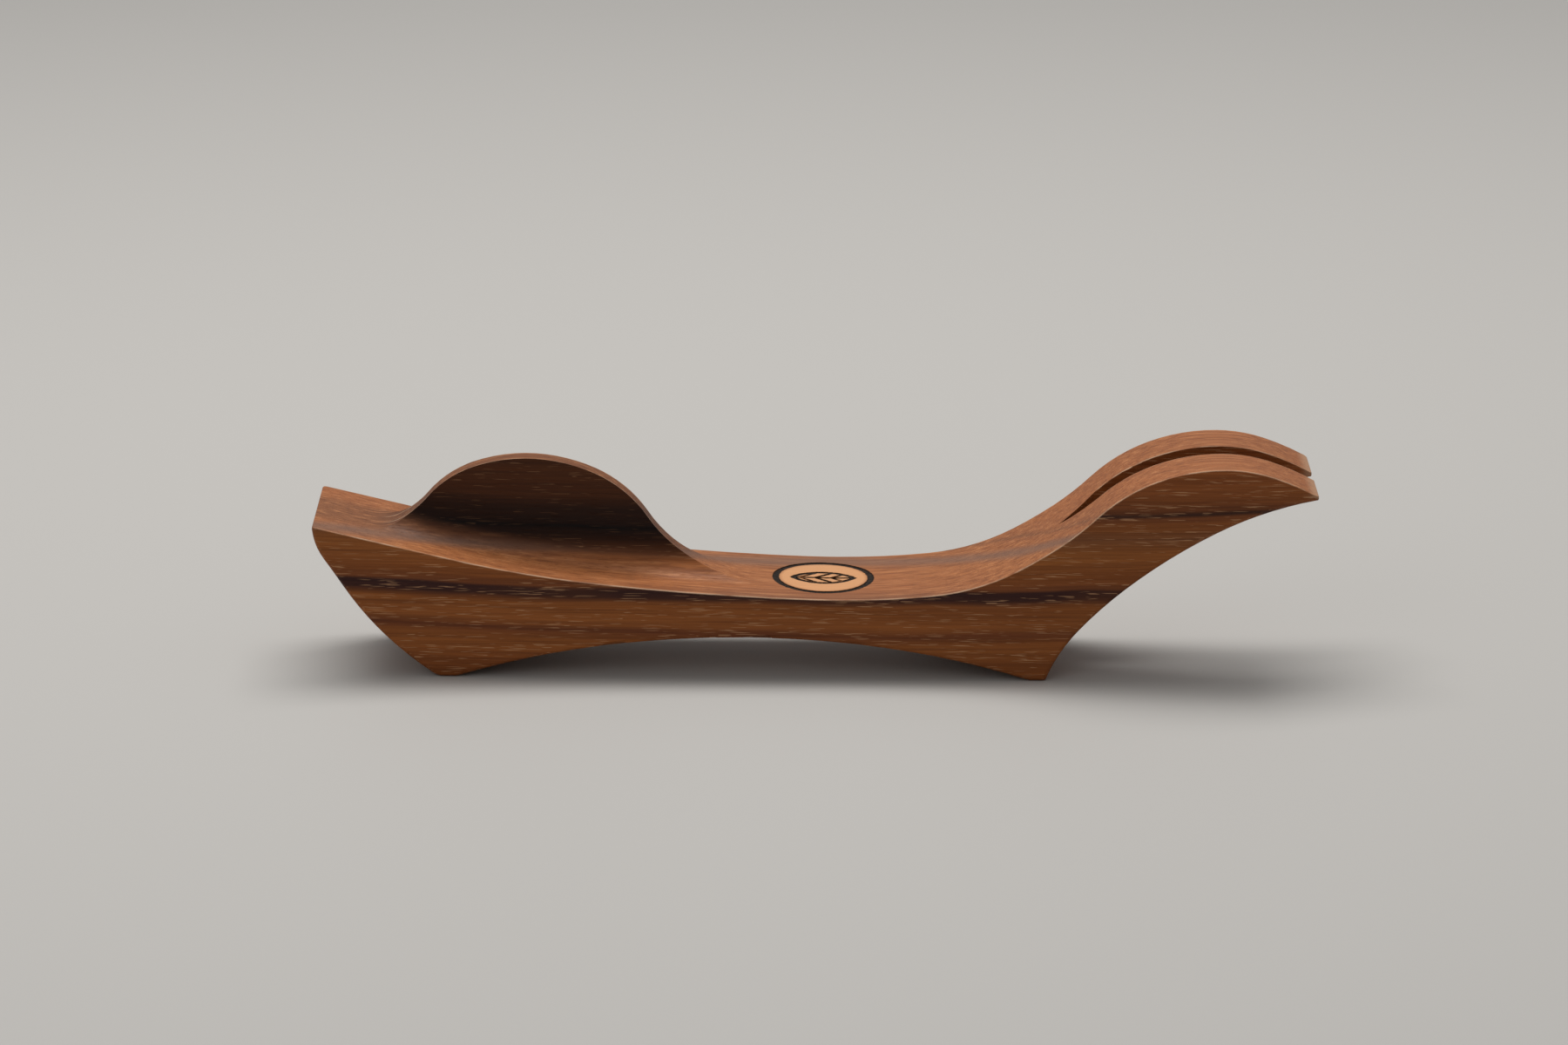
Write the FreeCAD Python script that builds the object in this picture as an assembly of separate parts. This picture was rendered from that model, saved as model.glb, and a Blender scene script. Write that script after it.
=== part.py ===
import FreeCAD, Part
import math
import os

# A rigid hand tool for body work, carved from one block of walnut.
# It stands on two feet with an arch between them. A thin upright fin grows out of the
# left half, a saddle runs across the middle, and the right end climbs to a crest that a
# slot splits into two prongs. A ring with a leaf in it is burnt into the saddle.
#
# Frame, in millimetres: X runs along the length from the blunt end to the fork tips,
# Y across the width, Z up. The origin is at the middle of the footprint, on the ground.

VECTOR = FreeCAD.Vector

# ---- Overall ---------------------------------------------------------------------------
LENGTH = 305.0              # blunt end to fork tips
WIDTH = 44.5                # between the two flat side faces

# ---- Deck: the straight slope at the blunt end -----------------------------------------
DECK_HEIGHT = 47.5          # top edge of the blunt end, above the ground
DECK_SLOPE = 13.2           # degrees, falling towards the middle
DECK_RUN = 40.5             # along X
END_BLUNT = 1.2             # upright flat left on the blunt end's edge

# ---- Fin: places are measured from the blunt end ---------------------------------------
FIN_THICKNESS = 6.1
FIN_START = 16.8            # where its crest leaves the deck
FIN_FRONT = 34.0            # a point on the climbing flank
FIN_FRONT_HEIGHT = 51.6
FIN_FRONT_SLOPE = 50.0      # degrees
FIN_PEAK = 64.0
FIN_HEIGHT = 64.1
FIN_BACK = 101.5            # a point on the falling flank
FIN_BACK_HEIGHT = 45.7
FIN_BACK_SLOPE = -56.3
FIN_END = 138.5             # where its tail sinks into the saddle
FIN_END_HEIGHT = 26.2
FIN_END_SLOPE = -2.6
COVE_RADIUS = 9.0           # hollow between the fin's faces and the deck beside it

# ---- Saddle ----------------------------------------------------------------------------
SADDLE_HEIGHT = 25.6        # its lowest line
SADDLE_SHARE = 0.29         # where that line lies, from the fin's end to the rise

# ---- Rise and fork: places are measured from the tips ----------------------------------
RISE_FOOT = 90.5
RISE_FOOT_HEIGHT = 35.3
RISE_FOOT_SLOPE = 28.6
RISE_STEEP = 66.9           # the steepest point of the rise
RISE_STEEP_HEIGHT = 52.3
RISE_STEEP_SLOPE = 44.6
FORK_CREST = 28.2
FORK_HEIGHT = 67.7
TIP_HEIGHT = 59.4           # upper edge of the prong tips
TIP_SLOPE = -28.7
TIP_BLUNT = 1.2             # upright flat left on the tips

# ---- Slot between the prongs, sawn right through from the tips -------------------------
SLOT_WIDTH = 8.2
SLOT_ROOT = 77.6            # from the tips to the point where the two saw cuts meet
SLOT_TAPER = 11.0           # length of the pointed root, along X

# ---- Underside -------------------------------------------------------------------------
TIP_UNDER_SLOPE = 11.0      # degrees, under the tips
BELLY = 57.8                # a point under the fork, from the tips
BELLY_HEIGHT = 29.3
BELLY_SLOPE = 39.2
RIGHT_FOOT = 81.6           # outer edge of the right foot, from the tips
RIGHT_FOOT_SLOPE = 68.8
RIGHT_LAND = 5.0            # flat that touches the ground, along X
LEFT_FOOT = 37.8            # outer edge of the left foot, from the blunt end
LEFT_FOOT_SLOPE = 33.5
LEFT_LAND = 5.7
ARCH_RISE = 13.0
ARCH_PEAK = -21.6           # X of the highest line of the arch
ARCH_SLOPE = 17.6           # degrees, where the arch meets either land
BOW = 9.2                   # a point on the curved blunt end, from that end
BOW_HEIGHT = 28.6
BOW_SLOPE = 57.0
BOW_TOP_SLOPE = 84.0        # where the bow meets the blunt end's flat

# ---- Rounded edges ---------------------------------------------------------------------
SOLE_ROUND = 1.4            # lower edges of the side faces
ARRIS_ROUND = 0.4           # upper edges of the side faces and of both ends
END_ROUND = 0.4             # lower edges across the blunt end and the tips
SLOT_ROUND = 0.3            # upper edges of the slot
LEFT_FOOT_ROUND = 5.0       # outer edge of the left foot, well worn
RIGHT_FOOT_ROUND = 0.8      # outer edge of the right foot, still crisp
LAND_ROUND = 6.0            # inner edge of either land

# ---- Burnt mark ------------------------------------------------------------------------
RING_DIAMETER = 31.2        # outside
RING_LINE = 1.9
RING_FROM_FIN = 16.9        # the fin's end to the middle of the ring
LEAF_CLEARANCE = 3.4        # inside of the ring to the ends of the leaf
LEAF_WIDTH_SHARE = 0.58     # width of the leaf, as a share of its length
LEAF_LINE = 1.5
VEIN_LINE = 1.1
VEIN_PITCH_SHARE = 0.24     # between side veins, as a share of the leaf's length
VEIN_ANGLE = 42.0           # degrees from the midrib
VEIN_PAIRS = 3
BURN_SINK = 0.25            # burnt face below the bare wood
BURN_DEPTH = 0.6            # thickness of the charred layer

CUTTER_HEIGHT = 40.0        # how far the cutters reach above what they cut
CUTTER_OVERRUN = 12.0       # how far they run past it
MARK_REACH = 4.0            # how far below the saddle the mark's stencil reaches

HALF_LENGTH = LENGTH / 2
HALF_WIDTH = WIDTH / 2
TOUCH = 0.001               # two coordinates closer than this are the same
PROBE = 0.1                 # step from an edge to ask which side the wood is on
SHORT_EDGE = 1.0            # edges shorter than this along X are not the slot's rim


# ---- Outline helpers: a knot is a point in the XZ plane with the heading there ----------

def heading(degrees):
    angle = math.radians(degrees)
    return VECTOR(math.cos(angle), 0, math.sin(angle))


def knot(x, z, degrees):
    return VECTOR(x, 0, z), heading(degrees)


def from_blunt_end(distance, z, degrees):
    return knot(distance - HALF_LENGTH, z, degrees)


def from_tips(distance, z, degrees):
    return knot(HALF_LENGTH - distance, z, degrees)


def left_of(direction):
    return VECTOR(-direction.z, 0, direction.x)


def straight(start, end):
    return [Part.LineSegment(start[0], end[0]).toShape()]


def arc_leaving(start, direction, end):
    """The arc that leaves start in a given direction and reaches end."""
    chord = end - start
    sideways = chord.dot(left_of(direction))
    half_turn = math.atan2(sideways, chord.dot(direction))
    radius = chord.dot(chord) / (2 * sideways)
    centre = start + left_of(direction) * radius
    halfway = math.atan2(direction.z, direction.x) + half_turn
    middle = centre - left_of(heading(math.degrees(halfway))) * radius
    return Part.Arc(start, middle, end).toShape()


def tangent_arcs(first, last):
    """Two arcs that join two knots, with one heading where they meet."""
    start, out = first
    end, home = last
    span = end - start
    both = out + home
    spread = 2 * (1 - out.dot(home))
    reach = (math.sqrt(span.dot(both) ** 2 + spread * span.dot(span)) - span.dot(both)) / spread
    before = start + out * reach
    after = end - home * reach
    meeting = (before + after) * 0.5
    return [
        arc_leaving(start, out, meeting),
        arc_leaving(meeting, (after - before).normalize(), end),
    ]


def smooth_run(*knots):
    edges = []
    for first, last in zip(knots[:-1], knots[1:]):
        edges += tangent_arcs(first, last)
    return edges


# ---- Knots of the outline, named by where they lie ---------------------------------------

def deck_knot(distance):
    fall = distance * math.tan(math.radians(DECK_SLOPE))
    return from_blunt_end(distance, DECK_HEIGHT - fall, -DECK_SLOPE)


def saddle_knots():
    fin_end = from_blunt_end(FIN_END, FIN_END_HEIGHT, FIN_END_SLOPE)
    rise_foot = from_tips(RISE_FOOT, RISE_FOOT_HEIGHT, RISE_FOOT_SLOPE)
    low_x = fin_end[0].x + SADDLE_SHARE * (rise_foot[0].x - fin_end[0].x)
    return fin_end, knot(low_x, SADDLE_HEIGHT, 0), rise_foot


def fin_run():
    """Crest of the fin, from the deck over the peak and down into the saddle."""
    return smooth_run(
        deck_knot(FIN_START),
        from_blunt_end(FIN_FRONT, FIN_FRONT_HEIGHT, FIN_FRONT_SLOPE),
        from_blunt_end(FIN_PEAK, FIN_HEIGHT, 0),
        from_blunt_end(FIN_BACK, FIN_BACK_HEIGHT, FIN_BACK_SLOPE),
        saddle_knots()[0],
    )


def deck_run():
    """Deck beside the fin, from where the fin starts to where it ends."""
    line_end = deck_knot(DECK_RUN)
    return straight(deck_knot(FIN_START), line_end) + smooth_run(line_end, saddle_knots()[0])


def fork_run():
    """Top surface from the fin's end over the saddle and the fork to the tips."""
    return smooth_run(
        *saddle_knots(),
        from_tips(RISE_STEEP, RISE_STEEP_HEIGHT, RISE_STEEP_SLOPE),
        from_tips(FORK_CREST, FORK_HEIGHT, 0),
        from_tips(0, TIP_HEIGHT, TIP_SLOPE),
    )


def underside_run():
    """Underside from the blunt end over both feet to the tips, and the tips' flat."""
    blunt_top = deck_knot(0)
    blunt_foot = from_blunt_end(0, DECK_HEIGHT - END_BLUNT, -BOW_TOP_SLOPE)
    left_outer = from_blunt_end(LEFT_FOOT, 0, -LEFT_FOOT_SLOPE)
    left_inner = from_blunt_end(LEFT_FOOT + LEFT_LAND, 0, ARCH_SLOPE)
    right_inner = from_tips(RIGHT_FOOT + RIGHT_LAND, 0, -ARCH_SLOPE)
    right_outer = from_tips(RIGHT_FOOT, 0, RIGHT_FOOT_SLOPE)
    tip_foot = from_tips(0, TIP_HEIGHT - TIP_BLUNT, TIP_UNDER_SLOPE)
    tip_top = from_tips(0, TIP_HEIGHT, 90)
    bow = from_blunt_end(BOW, BOW_HEIGHT, -BOW_SLOPE)
    belly = from_tips(BELLY, BELLY_HEIGHT, BELLY_SLOPE)
    return (
        straight(blunt_top, blunt_foot)
        + smooth_run(blunt_foot, bow, left_outer)
        + straight(left_outer, left_inner)
        + smooth_run(left_inner, knot(ARCH_PEAK, ARCH_RISE, 0), right_inner)
        + straight(right_inner, right_outer)
        + smooth_run(right_outer, belly, tip_foot)
        + straight(tip_foot, tip_top)
    )


# ---- Picking edges -----------------------------------------------------------------------

def middle_of(edge):
    return edge.valueAt((edge.FirstParameter + edge.LastParameter) / 2)


def lies_at(low, high, value):
    return abs(low - value) < TOUCH and abs(high - value) < TOUCH


def edges_across(solid, a_knot):
    """Edges that run across the width at one point of the outline."""
    point = a_knot[0]
    found = []
    for edge in solid.Edges:
        box = edge.BoundBox
        if lies_at(box.XMin, box.XMax, point.x) and lies_at(box.ZMin, box.ZMax, point.z):
            found.append(edge)
    return found


def rim_edges(solid, faces_up):
    """Edges of the two side faces, next to surfaces that look up (or level) or down."""
    found = []
    for face in solid.Faces:
        if lies_at(face.BoundBox.YMin, face.BoundBox.YMax, HALF_WIDTH):
            continue
        if lies_at(face.BoundBox.YMin, face.BoundBox.YMax, -HALF_WIDTH):
            continue
        for edge in face.Edges:
            low = edge.BoundBox.YMin
            high = edge.BoundBox.YMax
            if not (lies_at(low, high, HALF_WIDTH) or lies_at(low, high, -HALF_WIDTH)):
                continue
            normal = face.normalAt(*face.Surface.parameter(middle_of(edge)))
            if (normal.z > -TOUCH) == faces_up:
                found.append(edge)
    return found


def slot_rim_edges(solid):
    """Upper edges of the slot, where the tops of the prongs fall into it."""
    found = []
    half = SLOT_WIDTH / 2
    for edge in solid.Edges:
        box = edge.BoundBox
        on_wall = lies_at(box.YMin, box.YMax, half) or lies_at(box.YMin, box.YMax, -half)
        if not on_wall or box.XLength < SHORT_EDGE:
            continue
        middle = middle_of(edge)
        into_prong = VECTOR(0, math.copysign(PROBE, middle.y), 0)
        up = VECTOR(0, 0, PROBE)
        above = solid.isInside(middle + into_prong + up * 2, TOUCH, True)
        below = solid.isInside(middle + into_prong - up * 2, TOUCH, True)
        if below and not above:
            found.append(edge)
    return found


# ---- Solids ------------------------------------------------------------------------------

def swept_cutter(path_edges, section_points):
    """A cutter: a closed section, given by a function of its own frame, along a path."""
    first = path_edges[0]
    start = first.valueAt(first.FirstParameter)
    up = left_of(first.tangentAt(first.FirstParameter))

    def place(y, height):
        return start + VECTOR(0, y, 0) + up * height

    section = Part.Wire(section_points(place))
    return Part.Wire(path_edges).makePipeShell([section], True, False)


def pocket_section(place):
    """Everything beside the fin: flat floor, cove, then the fin's upright face."""
    face = FIN_THICKNESS / 2
    foot = face + COVE_RADIUS
    outside = HALF_WIDTH + CUTTER_OVERRUN
    bite = COVE_RADIUS * (1 - math.sqrt(0.5))
    return [
        Part.LineSegment(place(outside, 0), place(foot, 0)).toShape(),
        Part.Arc(place(foot, 0), place(face + bite, bite), place(face, COVE_RADIUS)).toShape(),
        Part.LineSegment(place(face, COVE_RADIUS), place(face, CUTTER_HEIGHT)).toShape(),
        Part.LineSegment(place(face, CUTTER_HEIGHT), place(outside, CUTTER_HEIGHT)).toShape(),
        Part.LineSegment(place(outside, CUTTER_HEIGHT), place(outside, 0)).toShape(),
    ]


def slot_cutter():
    """The slot: straight sides that close to a point at the root, cut from top to bottom."""
    half = SLOT_WIDTH / 2
    root = HALF_LENGTH - SLOT_ROOT
    shoulder = root + SLOT_TAPER
    past_tips = HALF_LENGTH + CUTTER_OVERRUN
    low = -CUTTER_OVERRUN
    outline = Part.makePolygon([
        VECTOR(root, 0, low),
        VECTOR(shoulder, -half, low),
        VECTOR(past_tips, -half, low),
        VECTOR(past_tips, half, low),
        VECTOR(shoulder, half, low),
        VECTOR(root, 0, low),
    ])
    return Part.Face(outline).extrude(VECTOR(0, 0, 2 * FORK_HEIGHT))


def sawn_blank():
    """The block sawn to its side outline, still as wide at the fin as anywhere."""
    top = straight(deck_knot(0), deck_knot(FIN_START)) + fin_run() + fork_run()
    outline = Part.Wire(Part.__sortEdges__(top + underside_run()))
    side = Part.Face(outline)
    side.translate(VECTOR(0, -HALF_WIDTH, 0))
    return side.extrude(VECTOR(0, WIDTH, 0))


def carved_body(blank):
    """The blank with the wood beside the fin and in the slot cut away, edges rounded."""
    pocket = swept_cutter(deck_run(), pocket_section)
    other_pocket = pocket.mirror(VECTOR(0, 0, 0), VECTOR(0, 1, 0))
    body = blank.cut(pocket).cut(other_pocket).cut(slot_cutter()).removeSplitter()
    across = [
        (LEFT_FOOT_ROUND, from_blunt_end(LEFT_FOOT, 0, 0)),
        (LAND_ROUND, from_blunt_end(LEFT_FOOT + LEFT_LAND, 0, 0)),
        (LAND_ROUND, from_tips(RIGHT_FOOT + RIGHT_LAND, 0, 0)),
        (RIGHT_FOOT_ROUND, from_tips(RIGHT_FOOT, 0, 0)),
        (END_ROUND, from_blunt_end(0, DECK_HEIGHT - END_BLUNT, 0)),
        (END_ROUND, from_tips(0, TIP_HEIGHT - TIP_BLUNT, 0)),
    ]
    for radius, place in across:
        body = body.makeFillet(radius, edges_across(body, place))
    body = body.makeFillet(SOLE_ROUND, rim_edges(body, False))
    body = body.makeFillet(ARRIS_ROUND, rim_edges(body, True))
    return body.makeFillet(SLOT_ROUND, slot_rim_edges(body))


# ---- The burnt mark ----------------------------------------------------------------------

def mark_centre():
    return VECTOR(saddle_knots()[0][0].x + RING_FROM_FIN, 0, SADDLE_HEIGHT - MARK_REACH)


def disc(centre, radius):
    return Part.Face(Part.Wire(Part.makeCircle(radius, centre)))


def pointed_oval(centre, offset, radius):
    """What two discs share when their middles lie offset to either side."""
    sideways = VECTOR(0, offset, 0)
    return disc(centre + sideways, radius).common(disc(centre - sideways, radius))


def strip(start, length, line, degrees):
    """A straight stroke that starts at a point and runs off at an angle in plan."""
    stroke = Part.makePlane(length, line, start - VECTOR(0, line / 2, 0))
    stroke.rotate(start, VECTOR(0, 0, 1), degrees)
    return stroke


def ring_face():
    centre = mark_centre()
    radius = RING_DIAMETER / 2
    return disc(centre, radius).cut(disc(centre, radius - RING_LINE))


def leaf_face():
    """A plain leaf: a pointed oval, its midrib and pairs of side veins."""
    centre = mark_centre()
    length = RING_DIAMETER - 2 * RING_LINE - 2 * LEAF_CLEARANCE
    half_width = LEAF_WIDTH_SHARE * length / 2
    vein_pitch = VEIN_PITCH_SHARE * length
    radius = (length ** 2 / 4 + half_width ** 2) / (2 * half_width)
    oval = pointed_oval(centre, radius - half_width, radius)
    inside = pointed_oval(centre, radius - half_width, radius - LEAF_LINE)
    strokes = [strip(centre - VECTOR(length / 2, 0, 0), length, VEIN_LINE, 0)]
    first = -vein_pitch * VEIN_PAIRS / 2
    for pair in range(VEIN_PAIRS):
        root = centre + VECTOR(first + pair * vein_pitch, 0, 0)
        for side in (-1, 1):
            strokes.append(strip(root, 2 * half_width, VEIN_LINE, side * VEIN_ANGLE))
    veins = strokes[0].fuse(strokes[1:]).common(oval)
    return oval.cut(inside).fuse(veins).removeSplitter()


def burnt_layer(face, blank):
    """A charred layer under the wood's own surface, and the recess that it lies in."""
    stencil = face.extrude(VECTOR(0, 0, MARK_REACH + CUTTER_HEIGHT))
    skin = blank.translated(VECTOR(0, 0, -BURN_SINK))
    bed = blank.translated(VECTOR(0, 0, -BURN_SINK - BURN_DEPTH))
    return stencil.common(skin).cut(bed), stencil.cut(bed)


def build():
    blank = sawn_blank()
    ring, ring_recess = burnt_layer(ring_face(), blank)
    leaf, leaf_recess = burnt_layer(leaf_face(), blank)
    body = carved_body(blank).cut(ring_recess).cut(leaf_recess)
    return {"walnut_body": body, "burnt_ring": ring, "burnt_leaf": leaf}


os.makedirs("parts", exist_ok=True)
for node, shape in build().items():
    print(node, len(shape.Solids), "solid, valid:", shape.isValid(), shape.BoundBox)
    shape.exportStep("parts/" + node + ".step")
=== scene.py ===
# %% [markdown]
# # A carved walnut hand board
#
# This lesson dresses a finished solid model. The object is one block of walnut, sawn to a
# wavy outline and carved: a thin upright fin at the left, a saddle in the middle, and a slotted
# fork at the right. A ring with a leaf in it is burnt into the saddle with a hot stamp.
# Its shape was drawn in CAD. Here we load that model, give it wood and char that are worked out
# by formula from the place of each point, and light it.

import bpy
import numpy as np
from mathutils import Matrix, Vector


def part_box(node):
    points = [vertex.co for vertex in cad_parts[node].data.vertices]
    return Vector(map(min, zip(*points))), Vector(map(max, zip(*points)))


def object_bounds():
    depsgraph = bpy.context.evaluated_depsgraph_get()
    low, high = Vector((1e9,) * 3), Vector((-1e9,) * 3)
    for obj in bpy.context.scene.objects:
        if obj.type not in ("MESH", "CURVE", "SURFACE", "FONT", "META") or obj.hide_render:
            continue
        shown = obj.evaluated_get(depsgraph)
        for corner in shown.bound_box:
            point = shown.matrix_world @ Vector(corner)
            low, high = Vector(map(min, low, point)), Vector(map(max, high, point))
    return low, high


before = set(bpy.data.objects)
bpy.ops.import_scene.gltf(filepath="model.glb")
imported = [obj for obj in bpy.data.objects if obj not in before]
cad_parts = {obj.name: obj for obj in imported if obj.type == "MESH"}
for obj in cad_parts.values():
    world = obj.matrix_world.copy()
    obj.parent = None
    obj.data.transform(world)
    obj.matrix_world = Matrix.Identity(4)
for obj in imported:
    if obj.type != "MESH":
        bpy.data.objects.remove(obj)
cad_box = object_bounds()
for name in sorted(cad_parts):
    low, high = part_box(name)
    size = [round(1000 * (b - a), 1) for a, b in zip(low, high)]
    print(name, "is", size, "mm")

# %% [markdown]
# ## Places on the wood
#
# Everything below needs a few places: how wide and long the block is, where the burnt ring lies,
# how big the leaf is. They could be typed in, but then a change of the model would leave them
# behind. So they are measured from the boxes of the model's own pieces, in millimetres, because
# wood's detail is a millimetre wide and such numbers are easier to read. Only the width of the
# ring's line can't be read from a box, so it is typed in as the model has it.

# %% Measure the places
MM = 1000.0


def box_mm(name):
    low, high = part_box(name)
    return np.array(low) * MM, np.array(high) * MM


body_high = box_mm("walnut_body")[1]
ring_low, ring_high = box_mm("burnt_ring")
leaf_low, leaf_high = box_mm("burnt_leaf")
HALF_WIDTH = body_high[1]
HALF_LENGTH = body_high[0]
MARK_X = (ring_low[0] + ring_high[0]) / 2
RING_OUTSIDE = (ring_high[0] - ring_low[0]) / 2
RING_LINE = 1.9
LEAF_HALF_LENGTH = (leaf_high[0] - leaf_low[0]) / 2
LEAF_HALF_WIDTH = leaf_high[1]
print("mark at x =", round(MARK_X, 2), "ring radius", round(RING_OUTSIDE, 2))

# %% [markdown]
# ## A short way to write nodes
#
# A material is a network of small operations. Placing them by hand is what the editor is for;
# in a script the same network reads best as arithmetic. These helpers place one node and give
# back its output, so that a formula is a few short lines, each with a name.
# A number in a formula may be a plain number or the output of another node.

# %% Helpers for node networks
def place(tree, kind, inputs=None, **options):
    """One node: its own options, and its inputs by name or number, as values or sockets."""
    node = tree.nodes.new(kind)
    for option, value in options.items():
        setattr(node, option, value)
    for key, value in (inputs or {}).items():
        if isinstance(value, bpy.types.NodeSocket):
            tree.links.new(value, node.inputs[key])
        else:
            node.inputs[key].default_value = value
    return node


def sum_of(tree, operation, *values):
    """One Math node, such as ADD, MULTIPLY or MAXIMUM, on one to three numbers."""
    node = place(tree, "ShaderNodeMath", dict(enumerate(values)), operation=operation)
    return node.outputs[0]


def product(tree, first, *others):
    """Masks multiplied: 1 only where all of them are 1."""
    for mask in others:
        first = sum_of(tree, "MULTIPLY", first, mask)
    return first


def less_where(tree, mask, share):
    """1 where the mask is 0, and 1 minus the share where the mask is 1."""
    return sum_of(tree, "MULTIPLY_ADD", mask, -share, 1.0)


def ramp_between(tree, value, low, high):
    """0 where value is at low or past it, 1 at high, and a smooth S between them."""
    node = place(
        tree,
        "ShaderNodeMapRange",
        {"Value": value, "From Min": low, "From Max": high},
        interpolation_type="SMOOTHSTEP",
    )
    return node.outputs["Result"]


def stretched_noise(tree, position, scales, detail=2.0, roughness=0.5):
    """Soft random values; scales say how many blotches fit in a millimetre along X, Y and Z."""
    squeezed = place(
        tree, "ShaderNodeVectorMath", {0: position, 1: scales}, operation="MULTIPLY"
    )
    noise = place(
        tree,
        "ShaderNodeTexNoise",
        {
            "Vector": squeezed.outputs[0],
            "Scale": 1.0,
            "Detail": detail,
            "Roughness": roughness,
        },
    )
    return noise.outputs["Fac"]


def mixed_colour(tree, amount, first, second, blend="MIX"):
    """Two colours mixed: all first where amount is 0, all second (or its blend) where it is 1."""
    node = place(tree, "ShaderNodeMix", data_type="RGBA", blend_type=blend)
    for key, value in ((0, amount), (6, first), (7, second)):
        if isinstance(value, bpy.types.NodeSocket):
            tree.links.new(value, node.inputs[key])
        else:
            node.inputs[key].default_value = value
    return node.outputs[2]


def tinted(tree, base, mask, most, colour, blend="MIX"):
    """A colour with another laid over it where the mask is 1, most being the share there."""
    return mixed_colour(tree, sum_of(tree, "MULTIPLY", mask, most), base, (*colour, 1.0), blend)


def shaded(tree, base, mask, most, colour):
    """A colour multiplied by another where the mask is 1, most being the share there."""
    return tinted(tree, base, mask, most, colour, "MULTIPLY")


def colour_bands(tree, value, stops):
    """A colour ramp: stops are (place from 0 to 1, red, green, blue)."""
    node = place(tree, "ShaderNodeValToRGB", {"Fac": value})
    ramp = node.color_ramp
    ramp.interpolation = "EASE"
    while len(ramp.elements) < len(stops):
        ramp.elements.new(0.5)
    for element, (where, red, green, blue) in zip(ramp.elements, stops):
        element.position = where
        element.color = (red, green, blue, 1.0)
    return node.outputs["Color"]


def new_group(name, inputs, outputs):
    """An empty node group with named sockets; gives the group, its inputs and its output node."""
    group = bpy.data.node_groups.new(name, "ShaderNodeTree")
    for socket, kind in inputs:
        group.interface.new_socket(socket, in_out="INPUT", socket_type=kind)
    for socket, kind in outputs:
        group.interface.new_socket(socket, in_out="OUTPUT", socket_type=kind)
    return group, group.nodes.new("NodeGroupInput"), group.nodes.new("NodeGroupOutput")


def use_group(tree, group, inputs):
    node = place(tree, "ShaderNodeGroup", node_tree=group)
    for key, value in inputs.items():
        if isinstance(value, bpy.types.NodeSocket):
            tree.links.new(value, node.inputs[key])
        else:
            node.inputs[key].default_value = value
    return node.outputs


def new_material(name):
    """An empty material: gives it, its tree, its shader, the position in mm and the normal."""
    material = bpy.data.materials.new(name)
    material.use_nodes = True
    tree = material.node_tree
    shader = next(n for n in tree.nodes if n.type == "BSDF_PRINCIPLED")
    coordinates = tree.nodes.new("ShaderNodeTexCoord")
    scaled = place(
        tree,
        "ShaderNodeVectorMath",
        {0: coordinates.outputs["Object"], "Scale": MM},
        operation="SCALE",
    )
    return material, tree, shader, scaled.outputs[0], coordinates.outputs["Normal"]


# %% [markdown]
# ## How walnut grows
#
# A tree adds one sheet of wood a year. In a short board the sheets are nearly flat: here they lie
# along the length and tilt across the width, so one dark sheet shows on the front face, on the
# fin and across the saddle, each time at the height where that surface meets it. A picture of
# wood wrapped on the outside would break at each edge. A solid texture doesn't: it gives each
# point a growth height, which is its height above the ground, plus its share of the tilt, less a
# gentle bow along the length, plus slow random wandering. The tree's vessels run along
# the board, so pores are noise squeezed across the grain and stretched along it.
# Bare and charred wood share this, so it is a group.

# %% Group: growth of the wood
TILT = 0.47
BOW = 4.0
BOW_REACH = 140.0
SLOW_WANDER = 3.4
QUICK_WANDER = 1.4
RING_DRIFT = 0.006
PORE_EDGE = 0.78

growth, growth_in, growth_out = new_group(
    "wood_growth",
    [("Position", "NodeSocketVector"), ("Pore Share", "NodeSocketFloat")],
    [
        ("Height", "NodeSocketFloat"),
        ("Rings", "NodeSocketFloat"),
        ("Fibre", "NodeSocketFloat"),
        ("Pores", "NodeSocketFloat"),
    ],
)
position = growth_in.outputs["Position"]
parts = place(growth, "ShaderNodeSeparateXYZ", {0: position}).outputs
along = sum_of(growth, "DIVIDE", parts["X"], BOW_REACH)
bow = sum_of(growth, "MULTIPLY", sum_of(growth, "MULTIPLY", along, along), -BOW)
slow = stretched_noise(growth, position, (0.009, 0.03, 0.03), 2.0)
quick_wave = stretched_noise(growth, position, (0.035, 0.12, 0.12), 2.0)
wander = sum_of(growth, "MULTIPLY_ADD", slow, SLOW_WANDER, -SLOW_WANDER / 2)
wander = sum_of(growth, "MULTIPLY_ADD", quick_wave, QUICK_WANDER, wander)
tilted = sum_of(growth, "MULTIPLY_ADD", parts["Y"], TILT, parts["Z"])
height = sum_of(growth, "ADD", sum_of(growth, "ADD", tilted, bow), wander)

drift = sum_of(growth, "MULTIPLY", parts["X"], RING_DRIFT)
ring_place = place(growth, "ShaderNodeCombineXYZ", {"X": drift, "Z": height}).outputs[0]
rings = stretched_noise(growth, ring_place, (1.0, 1.0, 0.62), 3.0, 0.62)
fibre = stretched_noise(growth, position, (0.022, 2.1, 2.1), 3.0, 0.55)
pore_noise = stretched_noise(growth, position, (0.17, 4.3, 4.3), 0.0, 0.4)
pore_edge = sum_of(growth, "SUBTRACT", PORE_EDGE, growth_in.outputs["Pore Share"])
pore_edge = sum_of(growth, "MULTIPLY_ADD", rings, -0.08, pore_edge)
over = sum_of(growth, "SUBTRACT", pore_noise, pore_edge)
pores = ramp_between(growth, over, 0.0, 0.06)
for socket, value in (("Height", height), ("Rings", rings), ("Fibre", fibre), ("Pores", pores)):
    growth.links.new(value, growth_out.inputs[socket])
print("growth group has", len(growth.nodes), "nodes")

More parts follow.
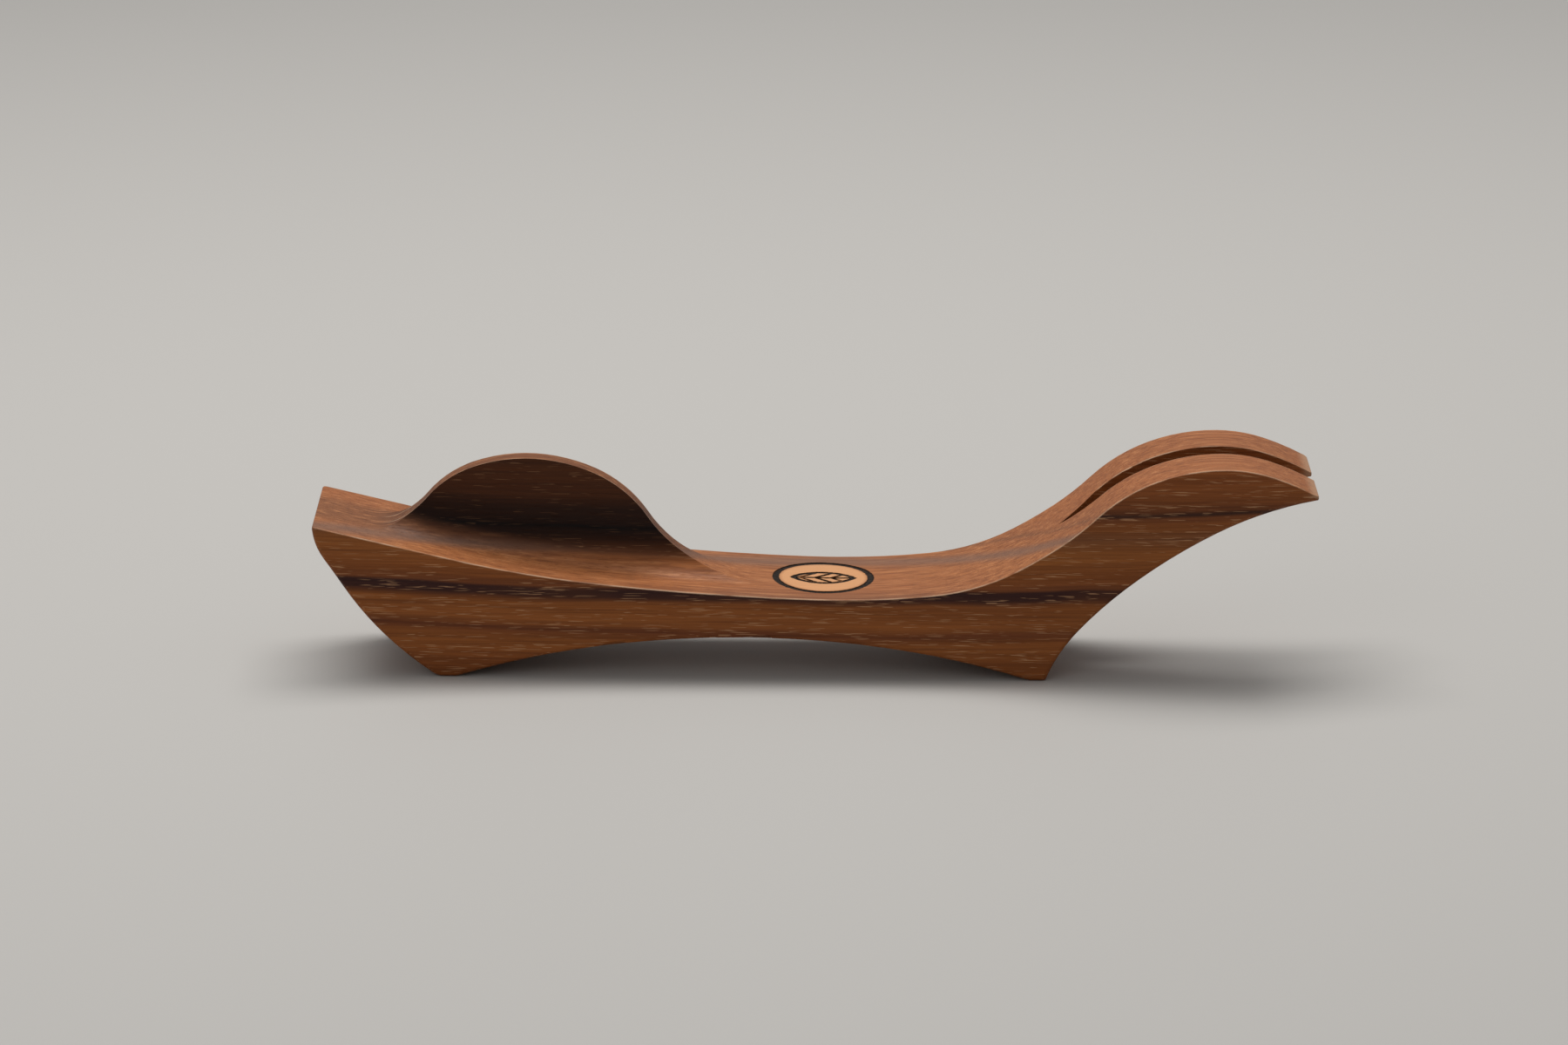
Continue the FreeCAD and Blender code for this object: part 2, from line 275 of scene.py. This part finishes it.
# %% [markdown]
# ## Where the edges are rubbed
#
# Handling and sanding wear the finish off sharp edges first, and the bare fibres there look paler.
# A worn edge could be found from the mesh's curvature, but that depends on how finely the mesh was
# cut. Here each kind of edge has a known place: the rims at the two side faces, both edges of the
# fin's crest, and the rims of the slot. The mask is a band at that distance from the middle plane,
# on faces that look upwards, broken up by noise. Half the fin's thickness and half the slot's
# width are the model's own sizes, in millimetres. Where along X the wear starts and stops is not a
# size of the model: it was chosen.

# %% Group: worn edges
wear, wear_in, wear_out = new_group(
    "edge_wear",
    [("Position", "NodeSocketVector"), ("Facing", "NodeSocketVector")],
    [("Wear", "NodeSocketFloat")],
)
parts = place(wear, "ShaderNodeSeparateXYZ", {0: wear_in.outputs["Position"]}).outputs
facing = place(wear, "ShaderNodeSeparateXYZ", {0: wear_in.outputs["Facing"]}).outputs
from_middle = sum_of(wear, "ABSOLUTE", parts["Y"])
looks_up = ramp_between(wear, facing["Z"], 0.12, 0.45)


def edge_band(at, reach):
    """1 at a distance from the middle plane, fading to 0 over reach to either side."""
    gap = sum_of(wear, "ABSOLUTE", sum_of(wear, "SUBTRACT", from_middle, at))
    return ramp_between(wear, gap, reach, 0.15 * reach)


FIN_HALF = 3.05
SLOT_HALF = 4.1
CREST_WORN_FROM = -134.0
CREST_WORN_TO = -40.0
SLOT_WORN_FROM = 85.5
on_crest = product(
    wear,
    ramp_between(wear, parts["X"], CREST_WORN_TO, CREST_WORN_TO - 6.0),
    ramp_between(wear, parts["X"], CREST_WORN_FROM, CREST_WORN_FROM + 6.0),
    ramp_between(wear, facing["Z"], 0.42, 0.52),
)
on_fork = ramp_between(wear, parts["X"], SLOT_WORN_FROM, SLOT_WORN_FROM + 2.5)
fin_edges = product(wear, edge_band(FIN_HALF, 0.55), on_crest)
slot_edges = product(wear, edge_band(SLOT_HALF + 0.15, 0.5), on_fork)
edges = sum_of(wear, "MAXIMUM", edge_band(HALF_WIDTH - 0.1, 0.7), fin_edges)
edges = sum_of(wear, "MAXIMUM", edges, slot_edges)
patchy = stretched_noise(wear, wear_in.outputs["Position"], (0.09, 0.3, 0.3), 3.0)
patchy = ramp_between(wear, patchy, 0.3, 0.62)
edges = product(wear, edges, looks_up, patchy)
wear.links.new(edges, wear_out.inputs["Wear"])
print("edge group has", len(wear.nodes), "nodes")

# %% [markdown]
# ## The stamp's scorch
#
# A hot stamp chars what it touches, and browns the wood a little way around, more where it
# was pressed longer. The charred lines are pieces of their own, sunk a quarter of a millimetre.
# The browned rim is a matter of colour, so it is worked out here as a distance to the drawn
# lines: to the ring, to the outline of the leaf, and to its veins.
# The leaf's outline is where two equal discs overlap, so its distance is the larger of two.

# %% Group: scorch around the burnt lines
scorch, scorch_in, scorch_out = new_group(
    "scorch",
    [("Position", "NodeSocketVector")],
    [("Scorch", "NodeSocketFloat"), ("Inside", "NodeSocketFloat")],
)
parts = place(scorch, "ShaderNodeSeparateXYZ", {0: scorch_in.outputs["Position"]}).outputs
mark_x = sum_of(scorch, "SUBTRACT", parts["X"], float(MARK_X))


def distance_from(centre_y):
    """How far a point of the plan is from (MARK_X, centre_y)."""
    across = sum_of(scorch, "SUBTRACT", parts["Y"], centre_y)
    squares = sum_of(scorch, "MULTIPLY", mark_x, mark_x)
    squares = sum_of(scorch, "MULTIPLY_ADD", across, across, squares)
    return sum_of(scorch, "SQRT", squares)


ring_middle = float(RING_OUTSIDE - RING_LINE / 2)
radius = distance_from(0.0)
to_ring = sum_of(scorch, "ABSOLUTE", sum_of(scorch, "SUBTRACT", radius, ring_middle))
to_ring = sum_of(scorch, "SUBTRACT", to_ring, RING_LINE / 2)

LEAF_LINE = 1.5
VEIN_LINE = 1.1
VEIN_ANGLE = np.radians(42.0)
VEIN_PITCH = 0.24 * 2 * LEAF_HALF_LENGTH
oval = float((LEAF_HALF_LENGTH**2 + LEAF_HALF_WIDTH**2) / (2 * LEAF_HALF_WIDTH))
shift = oval - float(LEAF_HALF_WIDTH)
inside_one = sum_of(scorch, "SUBTRACT", distance_from(shift), oval)
inside_two = sum_of(scorch, "SUBTRACT", distance_from(-shift), oval)
to_oval = sum_of(scorch, "MAXIMUM", inside_one, inside_two)
to_outline = sum_of(scorch, "ABSOLUTE", sum_of(scorch, "ADD", to_oval, LEAF_LINE / 2))
to_outline = sum_of(scorch, "SUBTRACT", to_outline, LEAF_LINE / 2)

aside = sum_of(scorch, "ABSOLUTE", parts["Y"])
to_midrib = sum_of(scorch, "SUBTRACT", aside, VEIN_LINE / 2)
slant = sum_of(scorch, "MULTIPLY_ADD", aside, float(-1 / np.tan(VEIN_ANGLE)), mark_x)
from_root = sum_of(scorch, "ADD", slant, float(1.5 * VEIN_PITCH))
beside = sum_of(scorch, "PINGPONG", from_root, float(VEIN_PITCH / 2))
to_vein = sum_of(scorch, "MULTIPLY_ADD", beside, float(np.sin(VEIN_ANGLE)), -VEIN_LINE / 2)
veins_start = sum_of(scorch, "SUBTRACT", float(-1.6 * VEIN_PITCH), slant)
veins_end = sum_of(scorch, "SUBTRACT", slant, float(0.6 * VEIN_PITCH))
to_vein = sum_of(scorch, "MAXIMUM", to_vein, sum_of(scorch, "MAXIMUM", veins_start, veins_end))
to_inner = sum_of(scorch, "MAXIMUM", sum_of(scorch, "MINIMUM", to_midrib, to_vein), to_oval)
to_mark = sum_of(scorch, "MINIMUM", to_ring, sum_of(scorch, "MINIMUM", to_outline, to_inner))

ragged = stretched_noise(scorch, scorch_in.outputs["Position"], (0.9, 1.3, 1.3), 3.0, 0.6)
to_mark = sum_of(scorch, "MULTIPLY_ADD", ragged, 0.9, to_mark)
on_top = ramp_between(scorch, parts["Z"], 20.0, 21.0)
burnt = ramp_between(scorch, to_mark, 0.75, 0.35)
near_mark = ramp_between(scorch, radius, RING_OUTSIDE + 3.0, RING_OUTSIDE + 2.0)
burnt = product(scorch, burnt, on_top, near_mark)
within = product(scorch, ramp_between(scorch, radius, ring_middle, ring_middle - 2.5), on_top)
scorch.links.new(burnt, scorch_out.inputs["Scorch"])
scorch.links.new(within, scorch_out.inputs["Inside"])
print("scorch group has", len(scorch.nodes), "nodes")

# %% [markdown]
# ## Oiled walnut: the sheets of growth
#
# Black walnut is a warm mid brown with nearly black, purple-brown sheets in it. The colour starts
# with a ramp over growth height, where each stop is a sheet of this one block, named by its height
# in millimetres. Broad clouds soften it a little. The fin is darker, partly because it is cut from
# darker heartwood and partly as painted shade, since its face is turned from the lamp. The mask of
# the dark heart and the fin's shade says where that is, and it eases a little further up.

# %% Material: oiled walnut, its sheets
walnut, tree, shader, position, normal = new_material("oiled_walnut_wood")
wood = use_group(tree, growth, {"Position": position, "Pore Share": 0.105})
facing = place(tree, "ShaderNodeSeparateXYZ", {0: normal}).outputs
place_of = place(tree, "ShaderNodeSeparateXYZ", {0: position}).outputs
GROWTH_LOW = -12.0
GROWTH_HIGH = 68.0
GROWTH_RANGE = GROWTH_HIGH - GROWTH_LOW


def sheet(at, red, green, blue):
    """A stop of the ramp at a growth height in millimetres."""
    return (at - GROWTH_LOW) / GROWTH_RANGE, red, green, blue


SHEETS = [
    sheet(-8.0, 0.225, 0.065, 0.014),
    sheet(1.0, 0.265, 0.081, 0.017),
    sheet(4.5, 0.150, 0.041, 0.012),
    sheet(7.0, 0.275, 0.085, 0.019),
    sheet(12.5, 0.250, 0.076, 0.016),
    sheet(15.6, 0.045, 0.013, 0.009),
    sheet(17.4, 0.035, 0.010, 0.008),
    sheet(18.6, 0.180, 0.053, 0.015),
    sheet(21.5, 0.245, 0.073, 0.016),
    sheet(29.0, 0.280, 0.090, 0.020),
    sheet(33.8, 0.190, 0.066, 0.022),
    sheet(37.5, 0.230, 0.070, 0.016),
    sheet(39.6, 0.165, 0.048, 0.014),
    sheet(40.7, 0.022, 0.008, 0.007),
    sheet(42.0, 0.150, 0.044, 0.013),
    sheet(45.5, 0.215, 0.063, 0.015),
    sheet(54.0, 0.255, 0.073, 0.016),
    sheet(64.0, 0.215, 0.062, 0.015),
]
WARM_BROWN = (0.275, 0.088, 0.018)
DARK_HEART_AND_SHADE = (0.10, 0.09, 0.13)

in_range = sum_of(
    tree, "MULTIPLY_ADD", wood["Height"], 1 / GROWTH_RANGE, -GROWTH_LOW / GROWTH_RANGE
)
base = colour_bands(tree, in_range, SHEETS)
cloud = stretched_noise(tree, position, (0.02, 0.06, 0.06), 2.0)
base = tinted(tree, base, ramp_between(tree, cloud, 0.42, 0.72), 0.15, WARM_BROWN)
from_middle = sum_of(tree, "ABSOLUTE", place_of["Y"])
# The fin's darker wood is partly real heartwood and partly painted shade, as its face is turned
# from the lamp.
heartwood_and_fin_shade = product(
    tree,
    ramp_between(tree, wood["Height"], 30.0, 38.0),
    ramp_between(tree, place_of["X"], -20.0, -45.0),
    ramp_between(tree, from_middle, 15.0, 7.0),
    less_where(tree, ramp_between(tree, wood["Height"], 45.0, 53.0), 0.3),
)
base = shaded(tree, base, heartwood_and_fin_shade, 0.95, DARK_HEART_AND_SHADE)
print("walnut has", len(SHEETS), "sheets")

# %% [markdown]
# ## Oiled walnut: rings and fibres
#
# Between the sheets run thin rings, and along the grain run fibres, some paler and some darker
# than the rest. Multiplying keeps a dark sheet dark under a pale fibre, which mixing would not.

# %% Rings and fibres
RING_SHADE = (0.45, 0.38, 0.38)
PALE_FIBRE = (1.45, 1.5, 1.6)
DARK_FIBRE = (0.45, 0.40, 0.40)
base = shaded(tree, base, ramp_between(tree, wood["Rings"], 0.62, 0.36), 0.4, RING_SHADE)
base = shaded(tree, base, ramp_between(tree, wood["Fibre"], 0.35, 0.70), 0.5, PALE_FIBRE)
base = shaded(tree, base, ramp_between(tree, wood["Fibre"], 0.45, 0.25), 0.35, DARK_FIBRE)
print("walnut has", len(tree.nodes), "nodes so far")

# %% [markdown]
# ## Oiled walnut: faces that look up
#
# Surfaces that look up are made lighter and pinker than the sawn sides: a painted sheen and
# painted top light, since the lamp above lights them and leaves the sides in shade. On them runs a
# silky play of long lines. One greyish sheet shows on them and hardly on the sides. The fin is
# dark heartwood and also faces away from the lamp, so it is darkened once more, partly as painted
# shade, after the top's tone is laid on. The deck to the left of it is spared.

# %% Tone of the top
TOP_SHEEN_TONE = (0.46, 0.178, 0.074)
SILK_SHADE = (0.50, 0.42, 0.42)
SILK_LIGHT = (0.56, 0.24, 0.10)
GREY_SHEET = (0.17, 0.105, 0.080)
FIN_HEART_AND_SHADE = (0.55, 0.55, 0.60)
FIN_SHADE_FROM = -140.0
FIN_SHADE_FULL = -128.0
looks_up = ramp_between(tree, facing["Z"], 0.25, 0.8)
silk = stretched_noise(tree, position, (0.006, 0.9, 0.9), 3.0, 0.6)
# Painted sheen and top light: faces that look up are mixed halfway to a lighter, pinker tone.
top_grain_and_sheen = mixed_colour(tree, 0.5, base, (*TOP_SHEEN_TONE, 1.0))
top_grain_and_sheen = shaded(tree, top_grain_and_sheen, ramp_between(tree, silk, 0.5, 0.32), 0.6, SILK_SHADE)
top_grain_and_sheen = tinted(tree, top_grain_and_sheen, ramp_between(tree, silk, 0.52, 0.70), 0.55, SILK_LIGHT)
grey = product(
    tree,
    ramp_between(tree, wood["Height"], 30.5, 33.8),
    ramp_between(tree, wood["Height"], 37.5, 34.2),
)
top_grain_and_sheen = tinted(tree, top_grain_and_sheen, grey, 0.6, GREY_SHEET)
base = mixed_colour(tree, looks_up, base, top_grain_and_sheen)
by_the_fin = ramp_between(tree, place_of["X"], FIN_SHADE_FROM, FIN_SHADE_FULL)
# The fin is darkened once more: partly its dark heartwood, partly painted shade.
base = shaded(tree, base, product(tree, heartwood_and_fin_shade, by_the_fin), 0.8, FIN_HEART_AND_SHADE)
print("walnut has", len(tree.nodes), "nodes so far")

# %% [markdown]
# ## Oiled walnut: pores, wear and scorch
#
# On the sides the pores show as short pale dashes, a painted highlight where the light from above
# catches their edges, thinned out in places and faint on the dark fin. On top they are fine dark
# lines. So the same mask acts in two ways, depending on how the surface faces. The tips of the
# prongs are paler end grain. Then come the worn edges, the lighter wood inside the ring, and the
# scorch around the burnt lines.

# %% Pores, wear and scorch
PORE_GLINT = (0.60, 0.33, 0.17)
DARK_PORE = (0.13, 0.050, 0.025)
END_GRAIN = (0.52, 0.34, 0.22)
RUBBED = (0.62, 0.42, 0.28)
INSIDE_RING = (0.80, 0.42, 0.20)
SCORCHED = (0.022, 0.012, 0.008)
thinned = stretched_noise(tree, position, (0.08, 1.1, 1.1), 1.0)
# Pale dashes of the side pores are a painted highlight: light from above catching their edges.
side_pore_glints = product(
    tree,
    wood["Pores"],
    ramp_between(tree, looks_up, 0.6, 0.1),
    ramp_between(tree, thinned, 0.46, 0.56),
    less_where(tree, heartwood_and_fin_shade, 0.8),
)
base = tinted(tree, base, side_pore_glints, 0.48, PORE_GLINT)
base = tinted(tree, base, product(tree, wood["Pores"], looks_up), 0.38, DARK_PORE)

tips = product(
    tree,
    ramp_between(tree, place_of["X"], HALF_LENGTH - 4.0, HALF_LENGTH - 0.4),
    ramp_between(tree, facing["Z"], -0.4, 0.1),
)
base = tinted(tree, base, tips, 0.55, END_GRAIN)
worn = use_group(tree, wear, {"Position": position, "Facing": normal})["Wear"]
base = tinted(tree, base, worn, 0.6, RUBBED)

mark = use_group(tree, scorch, {"Position": position})
base = tinted(tree, base, mark["Inside"], 0.7, INSIDE_RING)
base = tinted(tree, base, mark["Scorch"], 0.92, SCORCHED)
tree.links.new(base, shader.inputs["Base Color"])
print("walnut has", len(tree.nodes), "nodes so far")

# %% [markdown]
# ## Oiled walnut: shine and relief
#
# The finish is a thin satin oil: a rough shine, duller on pale fibres, in the pores and on
# scorched wood. A relief of at most about a tenth of a millimetre, deepest in the pores, breaks
# the shine up along the grain.

# %% Shine and relief
OIL_ROUGHNESS = 0.34
OIL_SHINE = 0.16
RELIEF = 0.00012
gloss = sum_of(tree, "MULTIPLY_ADD", wood["Fibre"], 0.22, OIL_ROUGHNESS)
gloss = sum_of(tree, "MULTIPLY_ADD", wood["Pores"], 0.2, gloss)
gloss = sum_of(tree, "MULTIPLY_ADD", mark["Scorch"], 0.25, gloss)
tree.links.new(gloss, shader.inputs["Roughness"])
shader.inputs["Specular IOR Level"].default_value = OIL_SHINE

relief = sum_of(tree, "MULTIPLY", wood["Fibre"], 0.8)
relief = sum_of(tree, "MULTIPLY_ADD", wood["Pores"], -1.0, relief)
relief = sum_of(tree, "MULTIPLY_ADD", wood["Rings"], 0.5, relief)
bump = place(tree, "ShaderNodeBump", {"Strength": 0.35, "Distance": RELIEF, "Height": relief})
tree.links.new(bump.outputs["Normal"], shader.inputs["Normal"])
print("walnut has", len(tree.nodes), "nodes")

# %% [markdown]
# ## Charred wood
#
# Inside the stamped lines the wood is burnt to a dull black skin. It is never quite even: fine
# dark pores run along the grain, flakes are browner where the stamp pressed less, and some fibres
# show through. It uses the same growth group as the bare wood, so its pores follow the
# same fibres.

# %% Material: charred walnut
CHAR = (0.008, 0.006, 0.005)
BROWN_FLAKE = (0.055, 0.030, 0.018)
CHAR_PORE = (0.004, 0.003, 0.003)
BARE_FIBRE = (0.085, 0.05, 0.032)
CHAR_SHINE = 0.18
CHAR_RELIEF = 0.0002

char, tree, shader, position, normal = new_material("charred_walnut_wood")
wood = use_group(tree, growth, {"Position": position, "Pore Share": 0.2})
flakes = stretched_noise(tree, position, (1.1, 1.9, 1.9), 4.0, 0.65)
browner = ramp_between(tree, flakes, 0.42, 0.72)
base = mixed_colour(tree, browner, (*CHAR, 1.0), (*BROWN_FLAKE, 1.0))
base = tinted(tree, base, wood["Pores"], 0.7, CHAR_PORE)
bare = ramp_between(tree, wood["Fibre"], 0.55, 0.8)
base = mixed_colour(tree, bare, base, (*BARE_FIBRE, 1.0))
tree.links.new(base, shader.inputs["Base Color"])
dullness = sum_of(tree, "MULTIPLY_ADD", flakes, -0.4, 0.95)
tree.links.new(dullness, shader.inputs["Roughness"])
shader.inputs["Specular IOR Level"].default_value = CHAR_SHINE
relief = sum_of(tree, "MULTIPLY_ADD", wood["Pores"], -0.8, flakes)
bump = place(tree, "ShaderNodeBump", {"Strength": 0.6, "Distance": CHAR_RELIEF, "Height": relief})
tree.links.new(bump.outputs["Normal"], shader.inputs["Normal"])
print("char has", len(tree.nodes), "nodes")

# %% [markdown]
# ## Dress the model
#
# The three pieces keep the shapes that they were drawn with. Only the material in each
# of their slots is exchanged.

# %% Put the materials on
for name, material in (("walnut_body", walnut), ("burnt_ring", char), ("burnt_leaf", char)):
    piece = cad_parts[name]
    for slot in piece.material_slots:
        slot.material = material
    print(name, "now has", [s.material.name for s in piece.material_slots])

# %% [markdown]
# ## The floor
#
# A plain pale sheet, large enough that its far edge is never seen. It is a grid worked out in
# numpy like any surface here, flat everywhere, and it belongs to the stage, not to the object.

# %% Floor
def grid_surface(name, x, y, z):
    """A mesh through a grid of points given as three arrays of equal shape, rows by columns."""
    rows, columns = x.shape
    points = np.stack([x, y, z], axis=-1).reshape(-1, 3)
    index = np.arange(rows * columns).reshape(rows, columns)
    quads = np.stack([index[:-1, :-1], index[:-1, 1:], index[1:, 1:], index[1:, :-1]], axis=-1)
    mesh = bpy.data.meshes.new(name)
    mesh.from_pydata(points.tolist(), [], quads.reshape(-1, 4).tolist())
    surface = bpy.data.objects.new(name, mesh)
    bpy.context.scene.collection.objects.link(surface)
    return surface


FLOOR_REACH = 6.0
lines = np.linspace(-FLOOR_REACH, FLOOR_REACH, 13)
across, deep = np.meshgrid(lines, lines)
level = np.full_like(across, float(cad_box[0][2]))
floor = grid_surface("floor", across, deep, level)
paper = bpy.data.materials.new("pale_floor")
paper.use_nodes = True
sheen = next(n for n in paper.node_tree.nodes if n.type == "BSDF_PRINCIPLED")
sheen.inputs["Base Color"].default_value = (0.50, 0.49, 0.475, 1.0)
sheen.inputs["Roughness"].default_value = 0.55
floor.data.materials.append(paper)
print("floor is", 2 * FLOOR_REACH, "m wide")

# %% [markdown]
# ## The camera
#
# The object is seen from the front and a little above, from far away through a long lens, so that
# its lines stay true. A camera is a point and three directions: where it looks, what is to its
# right, and what is up. We turn it a trace to the right, tip it down, and roll it very slightly.

# %% Camera
STANDS_AT = (-0.0128, -1.6617, 0.5530)
LOOK_RIGHT = 0.0021
LOOK_DOWN = 0.2976
ROLL = 0.0084

ahead = np.array([
    np.sin(LOOK_RIGHT) * np.cos(LOOK_DOWN),
    np.cos(LOOK_RIGHT) * np.cos(LOOK_DOWN),
    -np.sin(LOOK_DOWN),
])
level_right = np.array([np.cos(LOOK_RIGHT), -np.sin(LOOK_RIGHT), 0.0])
level_up = np.cross(level_right, ahead)
right = level_right * np.cos(ROLL) + level_up * np.sin(ROLL)
up = level_up * np.cos(ROLL) - level_right * np.sin(ROLL)
camera = bpy.data.objects.new("camera", bpy.data.cameras.new("camera"))
camera.data.sensor_width = 36.0
camera.data.lens = 130.0
camera.data.clip_end = 50.0
pose = Matrix.Identity(4)
for column, axis in enumerate((right, up, -ahead)):
    for row in range(3):
        pose[row][column] = float(axis[row])
for row, value in enumerate(STANDS_AT):
    pose[row][3] = value
camera.matrix_world = pose
bpy.context.scene.collection.objects.link(camera)
bpy.context.scene.camera = camera
print("camera looks", [round(float(v), 3) for v in ahead])

# %% [markdown]
# ## The light
#
# Soft daylight from a studio ceiling: one wide lamp above and a little behind, so that the
# top of the wood is bright and its front dark, one weaker lamp at the front left to open
# the shadows, and a pale surrounding for everything else. A wide lamp gives a soft shadow edge.

# %% Lamps and surroundings
def soft_lamp(name, place_at, look_at, width, depth, watts, colour=(1.0, 1.0, 1.0)):
    lamp = bpy.data.lights.new(name, "AREA")
    lamp.shape = "RECTANGLE"
    lamp.size = width
    lamp.size_y = depth
    lamp.energy = watts
    lamp.color = colour
    thing = bpy.data.objects.new(name, lamp)
    bpy.context.scene.collection.objects.link(thing)
    back = np.array(place_at, float) - np.array(look_at, float)
    back /= np.linalg.norm(back)
    side = np.cross([0.0, 0.0, 1.0], back)
    side /= np.linalg.norm(side)
    top = np.cross(back, side)
    turn = Matrix.Identity(4)
    for column, axis in enumerate((side, top, back)):
        for row in range(3):
            turn[row][column] = float(axis[row])
    for row in range(3):
        turn[row][3] = place_at[row]
    thing.matrix_world = turn
    return thing


MIDDLE = (0.0, 0.0, 0.03)
soft_lamp("top_lamp", (-0.15, 0.42, 1.45), MIDDLE, 1.6, 0.7, 22.0, (1.0, 0.98, 0.95))
soft_lamp("front_lamp", (-1.1, -1.5, 1.1), MIDDLE, 1.2, 1.2, 3.0)
surroundings = bpy.data.worlds.new("studio")
surroundings.use_nodes = True
air = next(n for n in surroundings.node_tree.nodes if n.type == "BACKGROUND")
air.inputs["Color"].default_value = (1.0, 0.99, 0.97, 1.0)
air.inputs["Strength"].default_value = 0.29
bpy.context.scene.world = surroundings
bpy.context.scene.view_settings.view_transform = "Standard"
